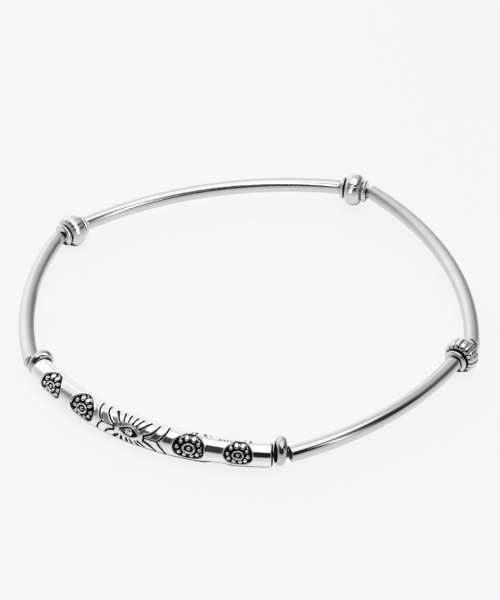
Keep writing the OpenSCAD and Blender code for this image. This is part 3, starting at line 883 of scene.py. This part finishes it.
def cutStroke(s, v, height, dark, line, widths, depth, burrHeight=0.03):
    near = np.all([(x > way.min() - 0.5) & (x < way.max() + 0.5) for x, way in zip((s, v), line.T)], axis=0)
    ns, nv = s[near], v[near]
    cut = np.zeros_like(ns)
    burr = np.zeros_like(ns)
    for (ls, lv), width in zip(line, widths):
        off = np.hypot(ns - ls, nv - lv)
        cut = np.maximum(cut, ease(0.65 * width, 0.3 * width, off))
        burr = np.maximum(burr, ridge(off - 0.6 * width - 0.06, 0.05))
    height[near] = np.minimum(height[near], height[near] * (1 - cut) - depth * cut)
    height[near] += burrHeight * burr * (1 - cut)
    dark[near] = np.maximum(dark[near], ease(0.06, 0.4, cut))


def carveShield(s, v, height, dark, shield):
    curve = smoothThrough(shield["outline"], 14, closed=True)
    rs, rv = shield["ring"]
    angles = np.arctan2(curve[:, 1] - rv, curve[:, 0] - rs)
    order = np.argsort(angles)
    edge = np.interp(np.arctan2(v - rv, s - rs), angles[order],
                     np.hypot(curve[:, 0] - rs, curve[:, 1] - rv)[order], period=2 * math.pi)
    inside = distanceTo(s, v, curve) * np.sign(edge - np.hypot(s - rs, v - rv)) + 0.05
    depth = bar["shieldDepth"]
    rise = np.zeros_like(s)
    for gs, gv, width, length, turn in shield["grains"]:
        c, n = toward(radians(turn))
        across = (s - gs) * c + (v - gv) * n
        along = (v - gv) * c - (s - gs) * n
        q = (2 * across / width) ** 2 + (2 * along / length) ** 2
        top = min(depth, 1.3 * width)
        rise = np.maximum(rise, top * np.clip(1 - q ** 1.6, 0, 1) ** 0.5)
    reach = np.hypot(s - rs, (v - rv) / shieldParts["flat"]) / shield["size"]
    ring = ease(shieldParts["ringInner"] - 0.05, shieldParts["ringInner"] + 0.05, reach)
    ring = ring * ease(shieldParts["ringOuter"] + 0.05, shieldParts["ringOuter"] - 0.05, reach)
    dome = np.clip(1 - (np.hypot(s - rs, v - rv) / shield["size"] / shieldParts["dome"]) ** 2.6, 0, 1) ** 0.5
    rise = np.maximum(rise, depth * np.maximum(ring, dome))
    sunk = -depth * ease(0, shieldParts["wall"], inside) + rise * ease(0.0, 0.08, inside)
    sunk = np.minimum(sunk, 0.0)
    height += sunk + shieldParts["rim"] * ridge(inside + 0.08, 0.05)
    dark[:] = np.maximum(dark, ease(0.36, 0.8, -sunk / depth))
    for nick in shield["nicks"]:
        line = smoothThrough(nick, 8)
        cutStroke(s, v, height, dark, line, np.full(len(line), 0.075), 0.07, 0.0)


# Lines round the eye: full width at the first point, in the middle and at the last, then the points
strokes = [
    (0.18, 0.21, 0.16, [(-4.15, 2.15), (-4.06, 1.6), (-3.92, 1.1), (-3.62, 0.52), (-3.32, 0.17),
                        (-3.05, 0.03)]),
    (0.19, 0.18, 0.16, [(-2.97, 2.15), (-2.88, 1.62), (-2.6, 1.12), (-2.2, 0.72), (-1.82, 0.44),
                        (-1.5, 0.26)]),
    (0.16, 0.25, 0.24, [(-1.5, 0.36), (-1.42, 0.1), (-1.4, -0.14), (-1.46, -0.36)]),
    (0.09, 0.15, 0.17, [(-3.1, 0.03), (-2.5, 0.03), (-1.95, 0.05), (-1.45, 0.07)]),
    (0.26, 0.25, 0.25, [(-1.4, -0.34), (-1.85, -0.5), (-2.25, -0.75), (-2.48, -1.0), (-2.65, -1.32)]),
    (0.14, 0.2, 0.27, [(-3.05, 0.0), (-3.38, -0.3), (-3.6, -0.68), (-3.8, -1.25)]),
    (0.32, 0.19, 0.15, [(-1.82, 1.96), (-1.5, 1.55), (-1.2, 1.12), (-0.92, 0.82)]),
    (0.22, 0.18, 0.15, [(-0.82, 2.1), (-0.7, 1.78), (-0.52, 1.25), (-0.4, 0.92)]),
    (0.16, 0.19, 0.15, [(0.02, 2.2), (0.05, 1.7), (0.13, 1.1)]),
    (0.21, 0.18, 0.22, [(0.9, 2.08), (0.82, 1.55), (0.7, 1.04)]),
    (0.23, 0.19, 0.22, [(1.7, 2.0), (1.47, 1.45), (1.24, 0.88)]),
    (0.3, 0.23, 0.25, [(2.74, 1.95), (2.32, 1.36), (1.98, 0.96), (1.72, 0.7)]),
    (0.19, 0.24, 0.21, [(3.84, 1.95), (3.72, 1.42), (3.45, 0.92), (3.08, 0.54), (2.62, 0.3), (2.42, 0.2)]),
    (0.18, 0.23, 0.29, [(2.42, 0.3), (2.46, 0.0), (2.42, -0.42)]),
    (0.18, 0.16, 0.21, [(2.5, -0.04), (3.3, -0.03), (4.15, -0.02)]),
    (0.19, 0.22, 0.17, [(4.96, 2.15), (4.94, 1.45), (4.76, 0.9), (4.48, 0.42), (4.2, 0.1)]),
    (0.26, 0.3, 0.31, [(2.42, -0.4), (2.98, -0.64), (3.42, -0.92), (3.88, -1.42)]),
    (0.18, 0.27, 0.29, [(4.1, -0.08), (4.48, -0.55), (4.78, -0.9), (5.08, -1.45)]),
    (0.22, 0.39, 0.39, [(-0.8, -0.74), (-1.12, -1.02), (-1.45, -1.36)]),
    (0.3, 0.34, 0.33, [(-0.37, -0.84), (-0.5, -1.42)]),
    (0.27, 0.35, 0.35, [(0.26, -0.88), (0.27, -1.46)]),
    (0.23, 0.3, 0.35, [(0.7, -0.88), (0.92, -1.42)]),
    (0.21, 0.3, 0.35, [(1.34, -0.86), (1.7, -1.42)]),
    (0.24, 0.33, 0.3, [(1.74, -0.7), (2.1, -1.0), (2.5, -1.34)]),
]

eye = {
    "place": (0.48, 0.0),
    "halfLength": 1.24,
    "halfHeight": 0.55,
    "iris": 0.46,
    "slope": 0.1,  # how far it lies down to the right
    "upperMore": 0.22,  # how much higher its upper half bulges
    "rippleStep": 0.17,  # from ring to ring of the white
    "irisLines": [  # width, then the points
        (0.1, [(-0.2, 0.1), (0, 0.18), (0.2, 0.12)]),
        (0.05, [(-0.27, -0.13), (-0.12, -0.08), (0.02, -0.1)]),
    ],
}

# Small dark stains: place, reach, strength
stains = [
    (8.16, 2.42, 0.17, 1.5), (7.66, 2.3, 0.11, 1.1), (9.2, 2.42, 0.2, 1.0), (9.45, 2.02, 0.1, 0.9),
    (9.95, 2.3, 0.13, 0.7), (11.05, 1.84, 0.1, 1.0), (11.35, 1.88, 0.08, 1.0), (11.62, 1.8, 0.09, 0.9),
    (11.95, 1.83, 0.08, 0.9), (12.3, 1.85, 0.09, 0.8), (13.96, 2.26, 0.11, 1.1), (14.58, 2.05, 0.14, 1.2),
]


def carveEye(s, v, height, dark):
    es, ev = eye["place"]
    part = np.clip((s - es) / eye["halfLength"], -1.6, 1.6)
    rise = eye["halfHeight"] * np.clip(1 - part ** 2, 0, 1) ** 0.75
    off = v - ev + eye["slope"] * part
    upper = ease(-0.1, 0.1, off)
    rise *= 1 + eye["upperMore"] * upper * ease(-0.7, 0.1, part)
    beyond = np.clip(np.abs(part) - 1, 0, 1) * eye["halfLength"]
    inside = np.where(beyond > 0, -np.hypot(beyond, off), rise - np.abs(off))
    reach = np.hypot(s - es, v - ev)
    iris = ease(eye["iris"] + 0.04, eye["iris"] - 0.04, reach)
    sunk = -bar["eyeDepth"] * ease(0, 0.09, inside) * (1 - iris)
    sunk -= iris * (0.06 + 0.05 * (reach / eye["iris"]) ** 2 - 0.16 * off)
    lid = 0.02 * ridge(inside + 0.08, 0.05) - 0.012 * upper * ridge(inside + 0.2, 0.06)
    ripples = 0.5 + 0.5 * np.cos((reach - eye["iris"]) * 2 * math.pi / eye["rippleStep"])
    rough = ripples * ease(0.04, 0.14, inside) * (1 - iris)
    height += sunk + lid + 0.06 * rough
    left = ease(0.1, -0.45, part)
    shade = 1 - (0.34 * rough + 0.22 * left) * ease(0.08, 0.2, inside)
    dark[:] = np.maximum(dark, ease(0.0, 0.06, inside) * (1 - iris) * shade)
    dark[:] = np.maximum(dark, ridge(reach - eye["iris"] - 0.05, 0.06) * ease(0.0, 0.06, inside))
    for width, line in eye["irisLines"]:
        points = smoothThrough([(es + a, ev + b) for a, b in line], 8)
        cutStroke(s, v, height, dark, points, np.full(len(points), width), 0.07, 0.0)


def barRelief(s, v):
    height = np.zeros_like(s)
    dark = np.zeros_like(s)
    for shield in shields:
        near = np.abs(s - shield["ring"][0]) < 2.6
        h, d = height[near], dark[near]
        carveShield(s[near], v[near], h, d, shield)
        height[near], dark[near] = h, d
    middle = np.abs(s) < 6.0
    ms, mv, mh, md = s[middle], v[middle], height[middle], dark[middle]
    carveEye(ms, mv, mh, md)
    for *widths, points in strokes:
        line = smoothThrough(points, 10)
        widths = np.interp(np.linspace(0, 1, len(line)), [0, 0.5, 1], widths)
        cutStroke(ms, mv, mh, md, line, widths, bar["lineDepth"])
    height[middle], dark[middle] = mh, md
    for ss, sv, size, strength in stains:
        off = (s - ss) ** 2 + ((v - sv) / 2) ** 2
        dark = np.maximum(dark, strength * np.exp(-off / size ** 2))
    return height, dark


def barColumns():
    # Columns along the bar: place, what comes off the radius, fixed radius or nothing, mark
    half, edge, bore, lip = barLength / 2, bar["edge"], bar["bore"], bar["lip"]
    start, stop = bar["carvedFrom"], bar["carvedTo"]
    quarter = np.linspace(0, math.pi / 2, 8)
    ends = [(half - edge * (1 - math.sin(a)), edge * (1 - math.cos(a))) for a in quarter]
    places = [*np.linspace(-half + edge, start, 14)[1:-1],
              *np.linspace(start, stop, int((stop - start) / bar["alongStep"])),
              *np.linspace(stop, half - edge, 12)[1:-1]]
    outer = [(-s, d) for s, d in ends[::-1]] + [(s, 0.0) for s in places] + ends
    columns = [(s, d, None, 0.0) for s, d in outer]
    # The right end's rim and lip and both mouths are painted shade; the bore is dark inside
    mouth = [(half, 1.1, 0.7), (half, 0.75, 0.8), (half - 0.02, bore + 0.03, 0.9), (half - 0.07, bore, 1.0)]
    rim = barRadiusAt(half) - edge
    columns += [(half + 0.01, 0, rim - 0.005, 1.0), (half + lip, 0, rim - 0.06, 1.0)]
    columns += [(s + lip, 0, r, 1.0) for s, r, m in mouth]
    columns += [(s, 0, bore, 1.0) for s in np.linspace(half - 0.6, -half + 0.6, 26)]
    return columns + [(-s, 0, r, m) for s, r, m in mouth[::-1]]


def barTurns():
    low = radians(bar["reliefTurn"] + bar["reliefLow"])
    high = radians(bar["reliefTurn"] + bar["reliefHigh"])
    front = np.linspace(low, high, int((high - low) / radians(bar["turnStep"])) + 1)
    back = np.linspace(high, low + 2 * math.pi, bar["backSteps"] + 1)[1:-1]
    return np.concatenate([front, back])


def makeBar():
    columns = barColumns()
    turns = barTurns()
    place = np.array([c[0] for c in columns])[:, None] + 0 * turns[None, :]
    drop = np.array([c[1] for c in columns])[:, None]
    angle = turns[None, :] + 0 * place
    wrapped = (angle - radians(bar["reliefTurn"]) + math.pi) % (2 * math.pi) - math.pi
    up = wrapped * barRadiusAt(place)
    across = place - bar["reliefShift"]
    height, dark = barRelief(across.ravel(), up.ravel())
    height, dark = height.reshape(place.shape), dark.reshape(place.shape)
    radius = barRadiusAt(place) - drop + height
    dent = ease(9.2, 10.6, across) * ease(12.8, 11.4, across) * ease(-0.9, -2.0, up) * ease(-3.6, -2.6, up)
    radius -= bar["dent"] * dent
    # Painted shade along the underside of the bar, painted shade at its two ends and a little tarnish
    edgeUp = -1.3 + 0.12 * ease(4.5, 8.0, across) + 0.24 * ease(8.6, 10.4, across) * ease(13.0, 11.6, across)
    dark = np.maximum(dark, 0.85 * ease(edgeUp, edgeUp - 0.42, up) * ease(-3.4, -3.0, up))
    for k, (s, d, fixed, mark) in enumerate(columns):
        if fixed is not None:
            radius[k], dark[k] = fixed, mark
        elif d > 0.002 and s > 0:
            dark[k] = ease(0.002, 0.07, d) * (0.6 + 0.4 * ease(1.2, 0.4, up[k]))
        elif d > 0.002:
            dark[k] = ease(0.08, 0.2, d) * 0.7
    tarnish = 0.35 * ease(5.0, 7.5, across) * ease(1.4, 2.0, up) + 0.12 * ease(3.2, 3.0, np.abs(across))

    around = barSide["radius"] + radius * np.cos(angle)
    bow = place / barSide["radius"]
    x = barSide["centre"][0] + around * np.sin(bow)
    y = barSide["centre"][1] - around * np.cos(bow)
    z = radius * np.sin(angle)
    spots = np.stack([x, y, z], axis=-1).reshape(-1, 3) * mm

    first = np.arange(place.size).reshape(place.shape)
    nextColumn = np.roll(first, -1, axis=0)
    both = np.roll(nextColumn, -1, axis=1)
    faces = np.stack([first, nextColumn, both, np.roll(first, -1, axis=1)], axis=-1).reshape(-1, 4)
    mesh = bpy.data.meshes.new("engravedBar")
    mesh.from_pydata(spots.tolist(), [], faces.tolist())
    mesh.polygons.foreach_set("use_smooth", np.ones(len(faces), dtype=bool))
    straight = np.stack([place, radius * np.cos(angle), radius * np.sin(angle)], axis=-1).reshape(-1) * mm
    mesh.attributes.new("straight", "FLOAT_VECTOR", "POINT").data.foreach_set("vector", straight)
    for name, values in (("patinaAndShade", dark), ("tarnish", np.clip(tarnish, 0, 1))):
        mesh.attributes.new(name, "FLOAT", "POINT").data.foreach_set("value", values.ravel())
    mesh.materials.append(silver)
    return mesh


finishPiece("EngravedBar", makeBar(), "engraved_bar", lay)
print("bar carved")


# Floor and studio

studio = {
    "low": 0.734,  # brightness of the room near the floor and halfway up
    "high": 0.791,
    "highAt": 62.0,
    "top": 1.35,  # the soft box overhead
    "topFrom": 59.0,
    "topSoft": 2.4,
    "cards": [  # azimuth, half width, softness, from height, to height, softness, brightness
        (-141.4, 57.4, 3.8, -17.2, 13.9, 2.4, 1.19),
        (-42, 32, 16, 17.4, 80, 22, 0.2),
        (38, 57, 5, 17.4, 79.6, 7.2, 0.01),
        (-12, 20, 14, 17.4, 70, 10, 0.05),
        (46, 31.5, 12.9, 9.6, 62.3, 2, 0.015),
        (101.2, 18, 3, 12.1, 44.6, 2.2, 1.57),
        (109.9, 8.2, 19.2, 9.1, 55.8, 5.4, 0.03),
        (139.4, 12.4, 8.4, 6.8, 41.6, 24.9, 0.01),
        (163.9, 19.7, 22.2, -14, 22.2, 25, 0.08),
        (-115.4, 22.2, 23.3, 10.4, 43.8, 15.4, 1.29),
        (157, 41, 7, 50.9, 48.8, 10.1, 0.03),
    ],
    "flags": [  # the same, hung in front of the soft box overhead
        (-4, 20, 12, 54, 70.5, 3, 0.03),
    ],
    # Small soft boxes over the middle that face the back tube: place, width, height, turns, brightness
    "nearBoxes": {
        "nearBox": ((0.7, -8.2, 29.7), 15.0, 48.1, (1.08, 1.57, -0.27), 3.4),
        "nearStrip": ((8.4, 6.2, 31.9), 1.5, 32.0, (1.08, 1.57, -0.214), 2.0),
    },
}

floorLook = {
    "size": 4.0,
    "glow": 0.86,
    "diffuse": 0.1,
    "rough": 0.8,
    "gloss": 5.0,  # how fast the mirror fades away from the surface
    "sheen": 0.95,
    "sheenRough": 0.06,
}


def grey(value):
    return (value, value, value, 1)


def makeFloor():
    size = floorLook["size"]
    mesh = bpy.data.meshes.new("floor")
    corners = [(-size, -size, 0), (size, -size, 0), (size, size, 0), (-size, size, 0)]
    mesh.from_pydata(corners, [], [(0, 1, 2, 3)])
    material, tree, shader = startMaterial("paleFloor")
    feed(tree, shader, {
        "Base Color": grey(floorLook["diffuse"]), "Roughness": floorLook["rough"], "Specular IOR Level": 0.0,
        "Emission Color": grey(floorLook["glow"]), "Emission Strength": 1.0})
    # Smooth board: a mirror only along the surface
    sheen = addNode(tree, "ShaderNodeBsdfAnisotropic", {
        "Color": grey(floorLook["sheen"]), "Roughness": floorLook["sheenRough"]})
    facing = addNode(tree, "ShaderNodeLayerWeight", {"Blend": 0.5}).outputs["Facing"]
    share = mathNode("POWER", facing, floorLook["gloss"])
    both = addNode(tree, "ShaderNodeMixShader", [share, shader.outputs[0], sheen.outputs[0]])
    feed(tree, tree.nodes["Material Output"], {"Surface": both.outputs[0]})
    mesh.materials.append(material)
    floor = addObject("floor", mesh)
    return floor


def makeNearBox(name, box, unlit):
    place, width, height, turns, brightness = box
    data = bpy.data.lights.new(name, "AREA")
    data.shape = "RECTANGLE"
    data.size = width * mm
    data.size_y = height * mm
    data.energy = brightness * math.pi * data.size * data.size_y
    light = addObject(name, data)
    stand = Matrix.Translation([v * mm for v in place])
    for turn, axis in zip(turns, "ZXZ"):
        stand = stand @ Matrix.Rotation(turn, 4, axis)
    light.matrix_world = stand
    light.visible_camera = False
    light.visible_diffuse = False
    light.light_linking.receiver_collection = unlit


def makeStudio():
    world = bpy.data.worlds.new("studio")
    bpy.context.scene.world = world
    world.use_nodes = True
    tree = world.node_tree
    x, y, z = splitVector(addNode(tree, "ShaderNodeTexCoord").outputs["Generated"])
    height = mathNode("ARCSINE", z)
    level = larger(0.001, distanceOut(x, y))

    def fade(bright, mask, value):
        return plus(bright, times(mask, minus(value, bright)))

    def hang(bright, card):
        azimuth, half, soft, low, high, softHeight, value = card
        a = radians(azimuth)
        facing = over(plus(times(x, math.sin(a)), times(y, -math.cos(a))), level)
        mask = rangeNode(facing, math.cos(radians(min(half + soft, 179))),
                         math.cos(radians(max(half - soft, 0.5))))
        above = rangeNode(height, radians(low - softHeight), radians(low + softHeight))
        below = rangeNode(height, radians(high + softHeight), radians(high - softHeight))
        return fade(bright, times(mask, times(above, below)), value)

    bright = rangeNode(height, 0.0, radians(studio["highAt"]), studio["low"], studio["high"])
    for card in studio["cards"]:
        bright = hang(bright, card)
    top, soft = studio["topFrom"], studio["topSoft"]
    bright = fade(bright, rangeNode(height, radians(top - soft), radians(top + soft)), studio["top"])
    for card in studio["flags"]:
        bright = hang(bright, card)
    colour = addNode(tree, "ShaderNodeCombineColor", [bright] * 3)
    feed(tree, tree.nodes["Background"], {"Color": colour.outputs[0]})
    bpy.context.scene.view_settings.view_transform = "Standard"


unlit = bpy.data.collections.new("unlit")  # the near boxes must not mirror in the floor
unlit.objects.link(makeFloor())
unlit.collection_objects[0].light_linking.link_state = "EXCLUDE"
for name, box in studio["nearBoxes"].items():
    makeNearBox(name, box, unlit)
makeStudio()
print("floor and studio made")
